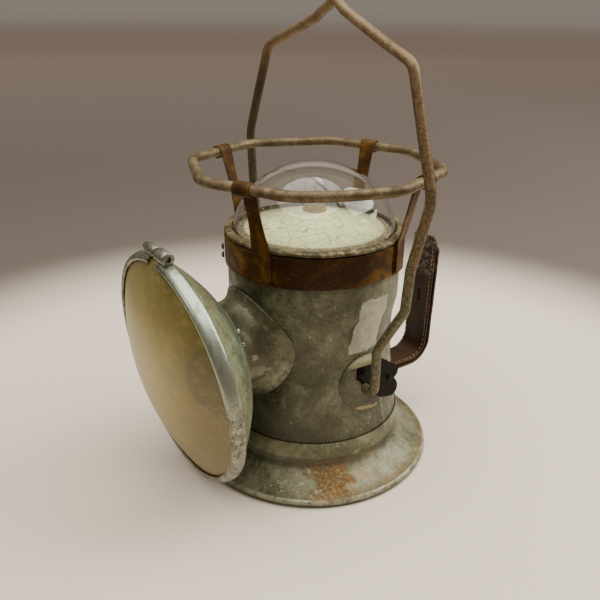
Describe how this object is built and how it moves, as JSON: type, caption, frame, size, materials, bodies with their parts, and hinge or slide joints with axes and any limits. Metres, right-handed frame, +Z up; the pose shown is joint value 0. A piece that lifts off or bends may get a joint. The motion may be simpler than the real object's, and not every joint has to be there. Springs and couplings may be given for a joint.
{
  "type": "railway inspector's battery hand lantern",
  "caption": "Waisted metal hand lantern with a large tilted searchlight, a glass signal globe in a wire guard, a hinged wire bail and a rear leather grip.",
  "frame": {"origin": "centre of the flat underside of the bottom cover, where the lantern stands", "axes": "+Z up along the body and globe, -Y towards the searchlight, the leather grip on +Y, the bail ears on +X and -X"},
  "size_m": [0.1694, 0.2048, 0.2651],
  "materials": {
    "tin": "dull grey-olive, scuffed and rust-stained",
    "bowl": "grey-green with tan wear, satin",
    "galvanized": "tarnished, mottled",
    "nickel": "worn plate, bright in places and pitted in others",
    "rusted_strip": "brown rust",
    "wire": "dull steel wire with rust",
    "enamel": "glossy cream, finely crazed",
    "clear_glass": "clear",
    "lens_glass": "clear glass with an amber cast",
    "mirror": "silvered",
    "brass": "tarnished",
    "dark_steel": "blackened",
    "leather": "dark brown, creased, scuffed",
    "rubber": "black",
    "bakelite": "dark brown phenolic",
    "battery": "printed card look without lettering"
  },
  "bodies": {
    "case": {"body_shell": "tin", "neck_tube": "tin", "searchlight_bowl": "bowl", "searchlight_mirror": "mirror", "searchlight_socket": "brass", "base_skirt": "tin", "contact_board": "bakelite", "contact_strip_1": "brass", "contact_strip_2": "brass", "guard_band": "rusted_strip", "guard_post_1": "rusted_strip", "guard_post_2": "rusted_strip", "guard_post_3": "rusted_strip", "guard_post_4": "rusted_strip", "guard_ring": "wire", "band_rivet_1": "rusted_strip", "band_rivet_2": "rusted_strip", "bail_ear_right": "tin", "bail_ear_left": "tin", "ear_plate_right": "dark_steel", "ear_plate_left": "dark_steel", "ear_rivet_right_1": "dark_steel", "ear_rivet_right_2": "dark_steel", "ear_rivet_left_1": "dark_steel", "ear_rivet_left_2": "dark_steel", "grip_core": "dark_steel", "grip_leather_inner": "leather", "grip_leather_outer": "leather", "switch_bushing": "brass"},
    "bail": {"bail": "wire"},
    "bezel": {"bezel_ring": "nickel", "lens_glass": "lens_glass", "lens_gasket": "rubber"},
    "clamp_screw": {"bezel_clamp_screw": "nickel"},
    "signal_head": {"globe_ring": "galvanized", "globe_glass": "clear_glass", "enamel_reflector": "enamel", "signal_socket": "brass"},
    "signal_bulb": {"signal_bulb_cap": "brass", "signal_bulb_glass": "clear_glass"},
    "searchlight_bulb": {"searchlight_bulb_cap": "brass", "searchlight_bulb_glass": "clear_glass"},
    "bottom": {"bottom_cover": "tin", "battery_pad": "rubber", "battery_case": "battery", "battery_terminal_1": "brass", "battery_terminal_2": "brass"},
    "switch": {"switch_knob": "bakelite"}
  },
  "joints": [
    {"name": "bail_swing", "type": "hinge", "parent": "case", "child": "bail", "pos_m": [0, 0, 0.0605], "axis": [1, 0, 0], "range_deg": [-100, 105]},
    {"name": "bezel_removal", "type": "slide", "parent": "case", "child": "bezel", "axis": [0, -0.9949, -0.1011], "range_m": [0, 0.04]},
    {"name": "clamp_screw_turn", "type": "hinge", "parent": "bezel", "child": "clamp_screw", "pos_m": [0, -0.09747, 0.14645], "axis": [1, 0, 0], "continuous": true},
    {"name": "signal_head_lift", "type": "slide", "parent": "case", "child": "signal_head", "axis": [0, 0, 1], "range_m": [0, 0.05]},
    {"name": "signal_bulb_turn", "type": "hinge", "parent": "signal_head", "child": "signal_bulb", "pos_m": [0, 0, 0.15], "axis": [0, 0, 1], "continuous": true},
    {"name": "searchlight_bulb_turn", "type": "hinge", "parent": "case", "child": "searchlight_bulb", "pos_m": [0, -0.05969, 0.08134], "axis": [0, -0.9949, -0.1011], "continuous": true},
    {"name": "bottom_removal", "type": "slide", "parent": "case", "child": "bottom", "axis": [0, 0, -1], "range_m": [0, 0.115]},
    {"name": "switch_turn", "type": "hinge", "parent": "case", "child": "switch", "pos_m": [-0.0456, 0.03076, 0.1145], "axis": [-0.829, 0.5592, 0], "range_deg": [-45, 45]}
  ]
}
